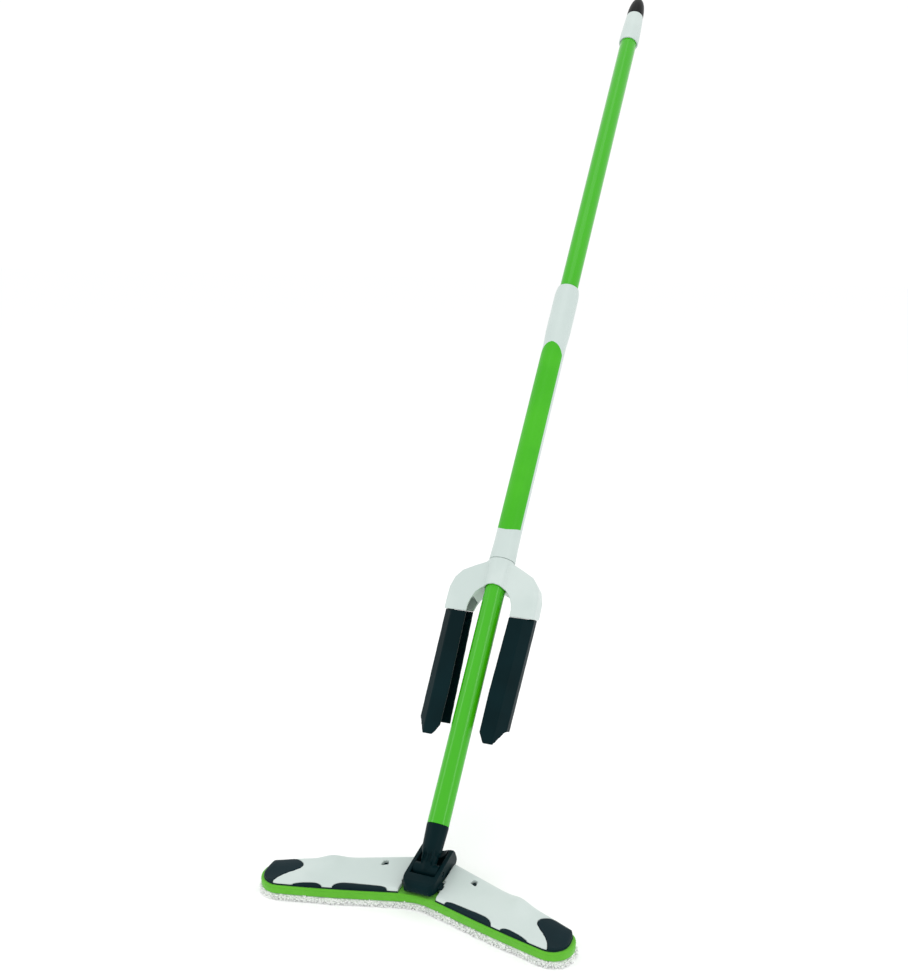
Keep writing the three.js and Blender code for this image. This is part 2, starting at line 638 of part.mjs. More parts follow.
for (const [name, side] of [['left', -1], ['right', 1]]) {
  wringer.add(
    piece(`jaw_${name}`, 'dark', jaw(side)),
    piece(`jaw_screw_${name}`, 'steel', jawScrew(side)),
  );
  mop.add(
    piece(`hinge_pin_${name}`, 'steel', hingePin(side)),
    piece(`base_plate_${name}`, 'white', basePlate(side)),
    piece(`shell_${name}`, 'white', shell(side)),
    piece(`bumper_${name}`, 'rubber', letIn('bumper', side)),
    piece(`long_trim_${name}`, 'rubber', letIn('long_trim', side)),
    piece(`short_trim_${name}`, 'rubber', letIn('short_trim', side)),
    piece(`latch_${name}`, 'dark', latch(side)),
    piece(`pad_band_${name}`, 'green_fabric', padSlab(side, PAD.bandBottom, PAD.top)),
    piece(`pad_pile_${name}`, 'pile', padSlab(side, PAD.bottom, PAD.pileTop)),
  );
}

export default mop;
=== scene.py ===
# %% [markdown]
# # A self-wringing flat mop
#
# The frame holds the mop's real shapes as plain solids: a leaning tube, a sliding wringer and a
# V-shaped head of two hinged wings. This lesson builds the pieces that show, around that frame,
# and gives every surface a procedural finish. We work in metres, +Z up, +X to the right and +Y
# to the back, and each finished piece keeps its place in its own mesh.

# %% Load the frame
import json
import math

import bmesh
import bpy
from mathutils import Matrix, Vector, geometry, noise

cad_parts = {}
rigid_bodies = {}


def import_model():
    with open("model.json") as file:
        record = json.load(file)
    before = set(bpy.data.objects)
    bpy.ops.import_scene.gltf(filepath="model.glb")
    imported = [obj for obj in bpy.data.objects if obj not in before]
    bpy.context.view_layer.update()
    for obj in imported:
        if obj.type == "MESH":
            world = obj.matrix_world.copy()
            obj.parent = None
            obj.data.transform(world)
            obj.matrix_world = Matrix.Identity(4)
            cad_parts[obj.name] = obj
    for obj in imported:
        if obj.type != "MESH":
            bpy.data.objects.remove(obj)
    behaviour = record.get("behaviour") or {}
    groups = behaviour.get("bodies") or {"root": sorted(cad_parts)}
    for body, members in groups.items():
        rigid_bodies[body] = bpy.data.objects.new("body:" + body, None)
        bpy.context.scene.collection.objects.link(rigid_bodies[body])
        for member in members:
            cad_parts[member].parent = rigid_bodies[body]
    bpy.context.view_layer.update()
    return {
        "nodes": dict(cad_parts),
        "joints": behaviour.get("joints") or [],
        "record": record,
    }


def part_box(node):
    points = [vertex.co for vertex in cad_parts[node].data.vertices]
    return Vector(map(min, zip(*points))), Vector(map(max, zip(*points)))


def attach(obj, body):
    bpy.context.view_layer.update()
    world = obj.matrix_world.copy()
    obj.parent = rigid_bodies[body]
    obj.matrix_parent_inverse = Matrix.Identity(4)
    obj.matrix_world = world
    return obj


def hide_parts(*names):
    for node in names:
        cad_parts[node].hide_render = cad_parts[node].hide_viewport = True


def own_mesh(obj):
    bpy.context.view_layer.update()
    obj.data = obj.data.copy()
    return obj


for start_object in list(bpy.data.objects):
    bpy.data.objects.remove(start_object)
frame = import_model()
MM = 0.001

# %% [markdown]
# The camera stands a little above the head, to the front right. Its place comes from the real
# proportions of the mop: a long lens, looking slightly down, with the handle leaning away.

# %% Camera
camera_data = bpy.data.cameras.new("camera")
camera_data.sensor_width = 36
camera_data.lens = 40.70
camera = bpy.data.objects.new("camera", camera_data)
bpy.context.scene.collection.objects.link(camera)
bpy.context.scene.camera = camera
CAMERA_PLACE = Vector((0.41742, -0.98860, 0.72396))
looking = Vector((-0.35468, 0.90431, -0.23755)).normalized()
across = Vector((0.93095, 0.36514, 0)).normalized()
camera.matrix_world = Matrix.Translation(CAMERA_PLACE) @ Matrix(
    (across, across.cross(looking), -looking)).transposed().to_4x4()
camera_data.clip_end = 20
print("camera looks", [round(v, 3) for v in looking])

# %% [markdown]
# ## The stage
# A product like this is shown on a seamless pale sweep. One large plane is floor and backdrop at
# once. Soft light comes from big lamps on the left, the right and overhead, and a pale world
# fills the shadows.

# %% Floor and lights
def lit_floor():
    mesh = bpy.data.meshes.new("floor")
    half = 12.0
    mesh.from_pydata([(-half, -half, 0), (half, -half, 0), (half, half, 0), (-half, half, 0)],
                     [], [(0, 1, 2, 3)])
    sweep = bpy.data.materials.new("pale_sweep")
    sweep.use_nodes = True
    shader = sweep.node_tree.nodes["Principled BSDF"]
    shader.inputs["Base Color"].default_value = (0.97, 0.975, 0.975, 1)
    shader.inputs["Roughness"].default_value = 1
    shader.inputs["Specular IOR Level"].default_value = 0
    mesh.materials.append(sweep)
    floor = bpy.data.objects.new("floor", mesh)
    bpy.context.scene.collection.objects.link(floor)
    return floor


def area_lamp(name, place, target, size, watts):
    data = bpy.data.lights.new(name, "AREA")
    data.shape = "RECTANGLE"
    data.size, data.size_y = size
    data.energy = watts
    lamp = bpy.data.objects.new(name, data)
    lamp.location = place
    lamp.rotation_euler = (Vector(target) - Vector(place)).to_track_quat("-Z", "Y").to_euler()
    bpy.context.scene.collection.objects.link(lamp)
    return lamp


floor = lit_floor()
area_lamp("overhead", (0.2, 0.1, 3.2), (0, 0.3, 0), (1.6, 1.6), 7)
area_lamp("left_softbox", (-1.9, -1.1, 1.3), (0, 0.3, 0.5), (0.5, 2.2), 8)
area_lamp("right_softbox", (1.9, -0.5, 1.2), (0, 0.3, 0.5), (0.35, 2.2), 7)
world = bpy.data.worlds.new("studio")
bpy.context.scene.world = world
world.use_nodes = True
world.node_tree.nodes["Background"].inputs["Color"].default_value = (1, 1, 1, 1)
world.node_tree.nodes["Background"].inputs["Strength"].default_value = 1.03
bpy.context.scene.view_settings.view_transform = "Standard"

# %% [markdown]
# ## Shader maths as Python expressions
# Node trees are easier to read as sums. `Value` wraps one output socket, and its operators add
# the Math nodes. Every other node comes from `Finish.node`, which takes the node's type, its
# settings and the values or links of its sockets.

# %% Shader helpers
class Value:
    """One number that varies over a surface, as the output socket of a node."""

    def __init__(self, finish, socket):
        self.finish, self.socket = finish, socket

    def _math(self, operation, *values):
        return Value(self.finish, self.finish.node(
            "ShaderNodeMath", {"operation": operation}, dict(enumerate(values))).outputs[0])

    def __add__(self, other):
        return self._math("ADD", self, other)

    def __radd__(self, other):
        return self._math("ADD", other, self)

    def __sub__(self, other):
        return self._math("SUBTRACT", self, other)

    def __rsub__(self, other):
        return self._math("SUBTRACT", other, self)

    def __mul__(self, other):
        return self._math("MULTIPLY", self, other)

    def __rmul__(self, other):
        return self._math("MULTIPLY", other, self)

    def sine(self):
        return self._math("SINE", self)

    def between(self, low, high):
        """0 at low and 1 at high, with a soft start and end."""
        step = self.finish.node("ShaderNodeMapRange", {"interpolation_type": "SMOOTHSTEP"}, {
            "Value": self, "From Min": low, "From Max": high})
        return Value(self.finish, step.outputs["Result"])


def add_node(tree, kind, settings=None, sockets=None):
    """Adds one node to a tree: first its settings, then the values or links of its sockets."""
    made = tree.nodes.new(kind)
    for key, value in (settings or {}).items():
        setattr(made, key, value)
    for key, value in (sockets or {}).items():
        value = getattr(value, "socket", value)
        if isinstance(value, bpy.types.NodeSocket):
            tree.links.new(value, made.inputs[key])
        else:
            made.inputs[key].default_value = value
    return made


class Finish:
    """One procedural material: a Principled shader and the nodes that feed it."""

    def __init__(self, name, roughness, **fixed):
        self.material = bpy.data.materials.new(name)
        self.material.use_nodes = True
        self.tree = self.material.node_tree
        self.shader = self.tree.nodes["Principled BSDF"]
        self.shader.inputs["Roughness"].default_value = roughness
        for socket, value in fixed.items():
            self.shader.inputs[socket.replace("_", " ")].default_value = value

    def node(self, kind, settings=None, sockets=None):
        return add_node(self.tree, kind, settings, sockets)

    def feed(self, socket, value):
        value = getattr(value, "socket", value)
        if isinstance(value, bpy.types.NodeSocket):
            self.tree.links.new(value, socket)
        else:
            socket.default_value = value

    def place(self):
        return self.node("ShaderNodeTexCoord").outputs["Object"]

    def turned_place(self, angles, scale=(1, 1, 1)):
        """Object coordinates, turned so that a pattern follows a leaning piece."""
        return self.node("ShaderNodeMapping", {"vector_type": "POINT"}, {
            "Vector": self.place(), "Rotation": angles, "Scale": scale}).outputs["Vector"]

    def noise(self, scale, detail=3.0, vector=None, roughness=0.5):
        return Value(self, self.node("ShaderNodeTexNoise", None, {
            "Vector": vector or self.place(), "Scale": scale, "Detail": detail,
            "Roughness": roughness}).outputs["Fac"])

    def coordinate(self, axis, vector=None):
        parts = self.node("ShaderNodeSeparateXYZ", None, {"Vector": vector or self.place()})
        return Value(self, parts.outputs[axis])

    def blend_colours(self, share, first, second):
        mixed = self.node("ShaderNodeMix", {"data_type": "RGBA"}, {0: share, 6: first, 7: second})
        return mixed.outputs[2]

    def colour(self, value):
        self.feed(self.shader.inputs["Base Color"], value)

    def roughness(self, value):
        self.feed(self.shader.inputs["Roughness"], value)

    def bump(self, height, strength, distance=0.0004):
        bump = self.node("ShaderNodeBump", None, {
            "Height": height, "Strength": strength, "Distance": distance})
        self.feed(self.shader.inputs["Normal"], bump.outputs["Normal"])


def paint(colour):
    """A plain colour with its alpha, as the sockets take it."""
    return (*colour, 1.0)


# %% [markdown]
# ## Finishes
# A mop of this kind has few materials: glossy green paint on the tube, off-white
# moulded plastic, a very dark blue-green plastic, soft dark rubber, green woven binding, white
# microfibre and a little steel. Moulded plastic gets a fine spark-eroded grain and a slow colour
# drift, because a single flat colour never looks real.

# %% Paint and plastics
def tube_paint():
    green = Finish("tube_paint", 0.24, Specular_IOR_Level=0.2, Coat_Weight=0.35, Coat_Roughness=0.08)
    drift = green.noise(9, 2)
    green.colour(green.blend_colours(drift, paint((0.036, 0.375, 0.002)), paint((0.046, 0.415, 0.003))))
    orange_peel = green.noise(420, 2)
    green.roughness(0.2 + 0.1 * green.noise(60, 3))
    green.bump(orange_peel, 0.05, 0.0002)
    return green.material


def moulded(name, shade, lighter, roughness, grain_strength, specular):
    """Injection-moulded plastic: a fine grain, and a slow drift between two shades."""
    plastic = Finish(name, roughness, Specular_IOR_Level=specular)
    drift = plastic.noise(14, 3).between(0.35, 0.65)
    plastic.colour(plastic.blend_colours(drift, paint(shade), paint(lighter)))
    grain = plastic.noise(1500, 2, roughness=0.7)
    plastic.roughness(roughness + 0.12 * (plastic.noise(35, 4) - 0.5))
    plastic.bump(grain, grain_strength, 0.00015)
    return plastic.material


def pin_steel():
    steel = Finish("pin_steel", 0.32, Metallic=1.0)
    steel.colour(paint((0.46, 0.47, 0.48)))
    streaks = steel.noise(900, 2, vector=steel.turned_place((0, 0, 0), (1, 0.08, 1)))
    steel.roughness(0.26 + 0.16 * streaks)
    return steel.material


FINISHES = {
    "handle_paint": tube_paint(),
    "white_plastic": moulded(
        "white_plastic", (0.510, 0.590, 0.565), (0.555, 0.630, 0.605), 0.34, 0.10, 0.4),
    "dark_plastic": moulded(
        "dark_plastic", (0.0006, 0.0095, 0.0115), (0.0012, 0.0135, 0.0165), 0.42, 0.16, 0.06),
    "bumper_rubber": moulded(
        "bumper_rubber", (0.0010, 0.0115, 0.0150), (0.0020, 0.0150, 0.0200), 0.38, 0.22, 0.11),
    "cap_rubber": moulded(
        "cap_rubber", (0.0018, 0.0030, 0.0032), (0.0030, 0.0045, 0.0048), 0.38, 0.16, 0.15),
    "grip_green": moulded(
        "grip_green", (0.040, 0.385, 0.003), (0.050, 0.420, 0.005), 0.40, 0.30, 0.25),
    "pin_steel": pin_steel(),
}
print("finishes:", sorted(FINISHES))

# %% [markdown]
# The binding is a woven tape, so its colour and its bump both come from two crossed rows of
# threads. The pile is white microfibre: short twisted yarns that stand in clumps, with grey
# shade between the clumps.

# %% Fabrics
def woven_binding():
    tape = Finish("green_binding", 0.85, Specular_IOR_Level=0.15, Sheen_Weight=0.25)
    threads_per_metre = 2 * math.pi * 900
    slant = tape.coordinate("X") * 0.95 + tape.coordinate("Y") * 0.3
    warp = (slant * threads_per_metre).sine()
    weft = (tape.coordinate("Z") * threads_per_metre).sine()
    weave = warp * weft * 0.5 + 0.5
    worn = tape.noise(55, 4)
    shade = weave * 0.55 + worn * 0.45
    tape.colour(tape.blend_colours(shade, paint((0.075, 0.350, 0.014)), paint((0.135, 0.520, 0.030))))
    tape.bump(weave * 0.7 + tape.noise(700, 3) * 0.3, 0.5, 0.0004)
    return tape.material


def microfibre():
    pile = Finish("white_microfibre", 0.95, Specular_IOR_Level=0.1, Sheen_Weight=0.3)
    clumps = Value(pile, pile.node("ShaderNodeTexVoronoi", {"feature": "F1"}, {
        "Vector": pile.place(), "Scale": 330}).outputs["Distance"])
    depth = clumps.between(0.15, 0.75)
    patches = pile.noise(45, 3).between(0.3, 0.7)
    pale = pile.blend_colours(patches, paint((0.88, 0.90, 0.87)), paint((0.93, 0.94, 0.92)))
    # Painted shade: the white pile is mixed towards grey in the hollows between the clumps.
    pile.colour(pile.blend_colours(depth * 0.55, pale, paint((0.70, 0.73, 0.72))))
    pile.bump((1 - clumps) * 0.7 + pile.noise(1400, 3) * 0.3, 0.7, 0.0012)
    return pile.material


FINISHES["band_fabric"] = woven_binding()
FINISHES["pad_pile"] = microfibre()
print("fabrics:", FINISHES["band_fabric"].name, FINISHES["pad_pile"].name)

# %% [markdown]
# ## The frame's own measures
# The handle leans in the plane x = 0. Its axis is the axis of the wringer's slide, and it starts
# at the tilt pin. `HANDLE` turns a point (x, y, t), with t measured up the handle, into a place
# on the mop. `reach` reads a node's length and radius in that frame, so nothing is measured twice.

# %% Handle frame and general helpers
JOINTS = {joint["name"]: joint for joint in frame["joints"]}
SLOTS = {part["node"]: part["material_slot"] for part in frame["record"]["subparts"]}
PIN = Vector(JOINTS["tilt"]["pos_m"])
slide_axis = Vector(JOINTS["wringer_slide"]["axis"])
LEAN = math.atan2(slide_axis.y, slide_axis.z)
HANDLE = Matrix.Translation(PIN) @ Matrix.Rotation(-LEAN, 4, "X")
FROM_HANDLE = HANDLE.inverted()
BODIES = frame["record"]["behaviour"]["bodies"]
BODY_OF = {node: body for body, nodes in BODIES.items() for node in nodes}


def reach(node):
    """Lowest and highest t of a node along the handle, and its largest radius."""
    local = [FROM_HANDLE @ vertex.co for vertex in frame["nodes"][node].data.vertices]
    heights = [p.z for p in local]
    return min(heights), max(heights), max(math.hypot(p.x, p.y) for p in local)


def linked(name, mesh):
    piece = bpy.data.objects.new(name, mesh)
    bpy.context.scene.collection.objects.link(piece)
    return piece


def mesh_piece(name, vertices, faces):
    mesh = bpy.data.meshes.new(name)
    mesh.from_pydata([tuple(v) for v in vertices], [], faces)
    mesh.validate()
    piece = linked(name, mesh)
    tidied(piece)
    return piece


def tidied(piece, weld=1e-6):
    """Welds doubles and points every face outwards."""
    work = bmesh.new()
    work.from_mesh(piece.data)
    bmesh.ops.remove_doubles(work, verts=work.verts, dist=weld)
    bmesh.ops.recalc_face_normals(work, faces=work.faces)
    work.to_mesh(piece.data)
    work.free()


def all_smooth(piece):
    piece.data.polygons.foreach_set("use_smooth", [True] * len(piece.data.polygons))


def smooth_shaded(piece, angle):
    """Smooth shading that stays crisp where two faces meet at more than the angle."""
    piece.data.set_sharp_from_angle(angle=math.radians(angle))
    all_smooth(piece)
    piece.data.update()


def finished(piece, node, body=None, stands_for=True):
    """Gives a piece the finish and the body of the CAD node that it stands for."""
    piece.data.materials.clear()
    piece.data.materials.append(FINISHES[SLOTS[node]])
    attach(piece, body or BODY_OF[node])
    if stands_for:
        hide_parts(node)
    return piece


def baked(piece):
    """The piece with its modifiers worked into its mesh."""
    graph = bpy.context.evaluated_depsgraph_get()
    mesh = bpy.data.meshes.new_from_object(piece.evaluated_get(graph))
    piece.modifiers.clear()
    piece.data = mesh
    return piece


print("the handle leans", round(math.degrees(LEAN), 1), "degrees")

# %% [markdown]
# ## Tubes, caps and the sleeve
# These are turned parts, so each is a profile spun round the handle. A profile is a list of
# (radius, t) corners, and a corner may carry a radius of its own, which `softened_profile`
# turns into a short arc: real edges always catch a little light.

# %% Turned pieces
ROUND = 96


def softened_profile(corners, steps=4):
    """Replaces each (radius, t, rounding) corner by a short arc, as a file would take it off."""
    points = []
    for i, (r, t, rounding) in enumerate(corners):
        here = Vector((r, t))
        if rounding == 0:
            points.append(here)
            continue
        before = (Vector(corners[i - 1][:2]) - here).normalized() * rounding
        after = (Vector(corners[(i + 1) % len(corners)][:2]) - here).normalized() * rounding
        for k in range(steps + 1):
            share = k / steps
            start, end = here + before * (1 - share), here + after * share
            points.append(start.lerp(end, share))
    return points


def spun(name, corners, segments=ROUND):
    """A closed ring of profile points, spun round the handle's axis."""
    profile = softened_profile(corners)
    vertices, faces = [], []
    for k in range(segments):
        angle = 2 * math.pi * k / segments
        for p in profile:
            vertices.append(HANDLE @ Vector((p.x * math.cos(angle), p.x * math.sin(angle), p.y)))
    count = len(profile)
    for k in range(segments):
        for i in range(count):
            a, b = k * count + i, k * count + (i + 1) % count
            c, d = (a + count) % len(vertices), (b + count) % len(vertices)
            faces.append((a, c, d, b))
    piece = mesh_piece(name, vertices, faces)
    smooth_shaded(piece, 35)
    return piece


def tube(name, node):
    low, high, radius = reach(node)
    bore = radius - 0.9 * MM
    edge = 0.3 * MM
    corners = [(bore, low, edge), (radius, low, edge), (radius, high, edge), (bore, high, edge)]
    return finished(spun(name, corners), node)


def end_cap():
    low, high, radius = reach("end_cap")
    bore = reach("upper_tube")[2] + 0.2 * MM
    plug = 6.4 * MM
    rim = 13.0 * MM
    middle = (low + high) / 2
    outside = [(radius - 0.3 * MM, low, 0.9 * MM), (radius, low + 5 * MM, 0),
               (radius - 0.4 * MM, middle - 8 * MM, 4 * MM),
               (radius - 1.1 * MM, middle + 10 * MM, 4 * MM), (rim, high, 0.8 * MM)]
    inside = [(plug, high, 0), (plug, low + 30 * MM, 0), (bore, low + 24 * MM, 0)]
    corners = [(bore, low, 0.3 * MM), *outside, *inside]
    return finished(spun("end_cap_shell", corners), "end_cap")


def cap_tip():
    """The soft pointed tip: an ogive, with a shallow step where it meets the cap."""
    low, high, radius = reach("end_cap_tip")
    base = reach("end_cap")[1] + 0.3 * MM
    plug = 6 * MM
    core = 0.01 * MM
    nose = []
    steps = 28
    for k in range(steps):
        angle = (k / steps) * math.pi / 2
        nose.append((radius * math.cos(angle) ** 0.8, base + (high - base) * math.sin(angle), 0))
    corners = [(core, low, 0), (plug, low, 0.3 * MM), (plug, base, 0), *nose, (core, high, 0)]
    return finished(spun("end_cap_point", corners), "end_cap_tip")


tube("tube_lower", "lower_tube")
tube("tube_upper", "upper_tube")
end_cap()
cap_tip()
print("handle reaches", round(reach("end_cap_tip")[1], 3), "m from the tilt pin")


# %% [markdown]
# ## Moulded pieces
# The fork, the wringer jaws and the wing covers are injection mouldings with complicated walls.
# Their plain solids have the right shape but knife-sharp edges, which no moulding has. A copy of
# each solid is voxel-remeshed finer than its smallest wall and lightly relaxed, so every edge
# gets a real radius. Leaning pieces are stood upright first, so that the voxels line up with
# their walls.

# %% Moulded pieces
def copied(nodes, name, upright):
    """One new object with the meshes of one or more nodes."""
    work = bmesh.new()
    for node in nodes:
        work.from_mesh(frame["nodes"][node].data)
    mesh = bpy.data.meshes.new(name)
    work.to_mesh(mesh)
    work.free()
    if upright:
        mesh.transform(FROM_HANDLE)
    piece = linked(name, mesh)
    tidied(piece)
    return piece


def relaxed(nodes, name, voxel, passes, upright=False):
    """A finer, softer copy of some nodes; the voxel is in millimetres."""
    piece = copied(nodes, name, upright)
    remesh = piece.modifiers.new("finer", "REMESH")
    remesh.mode = "VOXEL"
    remesh.voxel_size = voxel * MM
    remesh.use_smooth_shade = True
    soft = piece.modifiers.new("relaxed", "SMOOTH")
    soft.iterations = passes
    soft.factor = 0.5
    baked(piece)
    if upright:
        piece.data.transform(HANDLE)
    all_smooth(piece)
    return piece


# Voxel in millimetres, relaxing passes, and whether the piece leans with the handle
MOULDINGS = {"fork": (0.75, 5, True), "socket": (0.55, 4, True), "cradle": (0.5, 4, False)}
PAIRED = {"jaw": (0.72, 6, True), "shell": (0.7, 6, False), "bumper": (0.5, 4, False),
          "long_trim": (0.45, 4, False), "short_trim": (0.4, 3, False), "latch": (0.35, 3, False)}
for part, how in PAIRED.items():
    MOULDINGS[part + "_left"] = MOULDINGS[part + "_right"] = how
for node, (voxel, passes, upright) in MOULDINGS.items():
    moulding = finished(relaxed([node], node + "_moulding", voxel, passes, upright), node)
    print(moulding.name, len(moulding.data.polygons), "faces")

# %% [markdown]
# The sleeve is turned like the tubes. Its grip is a thin soft skin that lies on the waist of the
# sleeve, so it is relaxed like a moulding, and its lower edge is then curved.

# %% Sleeve and grip
def sleeve():
    """The sliding sleeve: a flared foot, a slim waist for the grip, and a collar on top."""
    low, high, widest = reach("sleeve")
    grip_low, grip_high, grip_radius = reach("grip_panel")
    slim = grip_radius - 0.1 * MM
    seat = reach("upper_bush")[2] + 0.05 * MM
    bore = reach("upper_tube")[2] + 0.6 * MM
    depth = reach("upper_bush")[1] - reach("upper_bush")[0]
    foot = [(seat, low, 0.3 * MM), (slim + 0.9 * MM, low, 0.6 * MM),
            (slim + 0.2 * MM, low + 22 * MM, 0)]
    waist = [(slim, grip_low, 0), (slim, grip_high + 2 * MM, 3 * MM)]
    collar = [(widest, grip_high + 24 * MM, 6 * MM), (widest, high - 12 * MM, 5 * MM),
              (widest - 1.2 * MM, high - 2 * MM, 1.5 * MM), (seat + 0.7 * MM, high, 0.3 * MM),
              (seat, high, 0.2 * MM)]
    inside = [(seat, high - depth, 0), (bore, high - depth, 0), (bore, low + depth, 0),
              (seat, low + depth, 0)]
    return finished(spun("sleeve_turned", [*foot, *waist, *collar, *inside]), "sleeve")


def grip():
    """The grip skin, with its lower edge drawn into a shallow smile."""
    piece = relaxed(["grip_panel"], "grip_skin", 0.7, 4, upright=True)
    low, high, radius = reach("grip_panel")
    fade = 24 * MM
    smile = 6 * MM
    for vertex in piece.data.vertices:
        local = FROM_HANDLE @ vertex.co
        share = max(0, 1 - (local.z - low) / fade)
        local.z += ((local.x / radius) ** 2 - 0.5) * smile * share
        vertex.co = HANDLE @ local
    return finished(piece, "grip_panel")


sleeve()
grip()
print("grip reaches from", round(reach("grip_panel")[0], 3), "to", round(reach("grip_panel")[1], 3))

# %% [markdown]
# ## The pad
# The pad is a strip of white microfibre pile under a bound green edge. It bends at the two
# hinges, so it is made in four parts: one under each wing, and two halves under the cradle. The
# base of the pile is a soft-edged slab. Its fringe is made with Geometry Nodes, which scatter
# many small tufts over the side walls: thousands of tufts cost one small drop shape and a rule.

# %% The tuft recipe
def recipe(name, inputs):
    """An empty Geometry Nodes tree with named inputs; returns the tree and its end nodes."""
    tree = bpy.data.node_groups.new(name, "GeometryNodeTree")
    tree.interface.new_socket("Geometry", in_out="INPUT", socket_type="NodeSocketGeometry")
    for label, kind in inputs.items():
        tree.interface.new_socket(label, in_out="INPUT", socket_type=kind)
    tree.interface.new_socket("Geometry", in_out="OUTPUT", socket_type="NodeSocketGeometry")
    return tree, tree.nodes.new("NodeGroupInput"), tree.nodes.new("NodeGroupOutput")


def tuft_recipe():
    tree, given, result = recipe("tufts", {
        "Density": "NodeSocketFloat", "Length": "NodeSocketFloat", "Thickness": "NodeSocketFloat",
        "Seed": "NodeSocketInt", "Material": "NodeSocketMaterial"})
    fringe = add_node(tree, "GeometryNodeInputNamedAttribute", {"data_type": "FLOAT"}, {
        "Name": "fringe"})
    amount = add_node(tree, "ShaderNodeMath", {"operation": "MULTIPLY"}, {
        0: fringe.outputs["Attribute"], 1: given.outputs["Density"]})
    roots = add_node(tree, "GeometryNodeDistributePointsOnFaces", None, {
        "Mesh": given.outputs["Geometry"], "Density": amount.outputs[0], "Seed": given.outputs["Seed"]})
    drop = add_node(tree, "GeometryNodeMeshUVSphere", None, {"Segments": 6, "Rings": 5, "Radius": 0.5})
    out_of_root = add_node(tree, "GeometryNodeTransform", None, {
        "Geometry": drop.outputs["Mesh"], "Translation": (0, 0, 0.35)})
    straying = add_node(tree, "FunctionNodeRandomValue", {"data_type": "FLOAT_VECTOR"}, {
        0: (-0.55, -0.55, -0.75), 1: (0.55, 0.55, 0.55), "Seed": given.outputs["Seed"]})
    direction = add_node(tree, "ShaderNodeVectorMath", {"operation": "ADD"}, {
        0: roots.outputs["Normal"], 1: straying.outputs["Value"]})
    turned = add_node(tree, "FunctionNodeAlignRotationToVector", {"axis": "Z"}, {
        "Vector": direction.outputs["Vector"]})
    size = add_node(tree, "ShaderNodeCombineXYZ", None, {
        "X": given.outputs["Thickness"], "Y": given.outputs["Thickness"], "Z": given.outputs["Length"]})
    variety = add_node(tree, "FunctionNodeRandomValue", {"data_type": "FLOAT"}, {
        2: 0.65, 3: 1.25, "Seed": given.outputs["Seed"]})
    varied = add_node(tree, "ShaderNodeVectorMath", {"operation": "SCALE"}, {
        0: size.outputs["Vector"], "Scale": variety.outputs[1]})
    tufts = add_node(tree, "GeometryNodeInstanceOnPoints", None, {
        "Points": roots.outputs["Points"], "Instance": out_of_root.outputs["Geometry"],
        "Rotation": turned.outputs["Rotation"], "Scale": varied.outputs["Vector"]})
    real = add_node(tree, "GeometryNodeRealizeInstances", None, {
        "Geometry": tufts.outputs["Instances"]})
    both = tree.nodes.new("GeometryNodeJoinGeometry")
    tree.links.new(given.outputs["Geometry"], both.inputs[0])
    tree.links.new(real.outputs["Geometry"], both.inputs[0])
    smooth = add_node(tree, "GeometryNodeSetShadeSmooth", None, {"Geometry": both.outputs[0]})
    coloured = add_node(tree, "GeometryNodeSetMaterial", None, {
        "Geometry": smooth.outputs[0], "Material": given.outputs["Material"]})
    tree.links.new(coloured.outputs[0], result.inputs[0])
    return tree


def applied(piece, tree, values):
    """Runs a recipe on a piece, with its inputs set by identifier, and keeps the plain mesh."""
    modifier = piece.modifiers.new(tree.name, "NODES")
    modifier.node_group = tree
    for item in tree.interface.items_tree:
        if item.item_type == "SOCKET" and item.in_out == "INPUT" and item.name in values:
            modifier[item.identifier] = values[item.name]
    return baked(piece)


TUFTS = tuft_recipe()
print("tuft recipe has", len(TUFTS.nodes), "nodes")

# %% [markdown]
# The stitch recipe follows an edge line and sets one small thread capsule on it every few
# millimetres. It makes the sewn line that holds the green binding tape to the pad.

# %% The stitch recipe
def stitch_recipe():
    tree, given, result = recipe("stitches", {
        "Spacing": "NodeSocketFloat", "Length": "NodeSocketFloat", "Thickness": "NodeSocketFloat",
        "Material": "NodeSocketMaterial"})
    line = add_node(tree, "GeometryNodeMeshToCurve", None, {"Mesh": given.outputs["Geometry"]})
    points = add_node(tree, "GeometryNodeCurveToPoints", {"mode": "LENGTH"}, {
        "Curve": line.outputs["Curve"], "Length": given.outputs["Spacing"]})
    thread = add_node(tree, "GeometryNodeMeshUVSphere", None, {"Segments": 6, "Rings": 5, "Radius": 0.5})
    along = add_node(tree, "FunctionNodeAlignRotationToVector", {"axis": "Z"}, {
        "Vector": points.outputs["Tangent"]})
    size = add_node(tree, "ShaderNodeCombineXYZ", None, {
        "X": given.outputs["Thickness"], "Y": given.outputs["Thickness"], "Z": given.outputs["Length"]})
    row = add_node(tree, "GeometryNodeInstanceOnPoints", None, {
        "Points": points.outputs["Points"], "Instance": thread.outputs["Mesh"],
        "Rotation": along.outputs["Rotation"], "Scale": size.outputs["Vector"]})
    real = add_node(tree, "GeometryNodeRealizeInstances", None, {"Geometry": row.outputs["Instances"]})
    smooth = add_node(tree, "GeometryNodeSetShadeSmooth", None, {"Geometry": real.outputs["Geometry"]})
    coloured = add_node(tree, "GeometryNodeSetMaterial", None, {
        "Geometry": smooth.outputs[0], "Material": given.outputs["Material"]})
    tree.links.new(coloured.outputs[0], result.inputs[0])
    return tree


STITCHES = stitch_recipe()
print("stitch recipe has", len(STITCHES.nodes), "nodes")
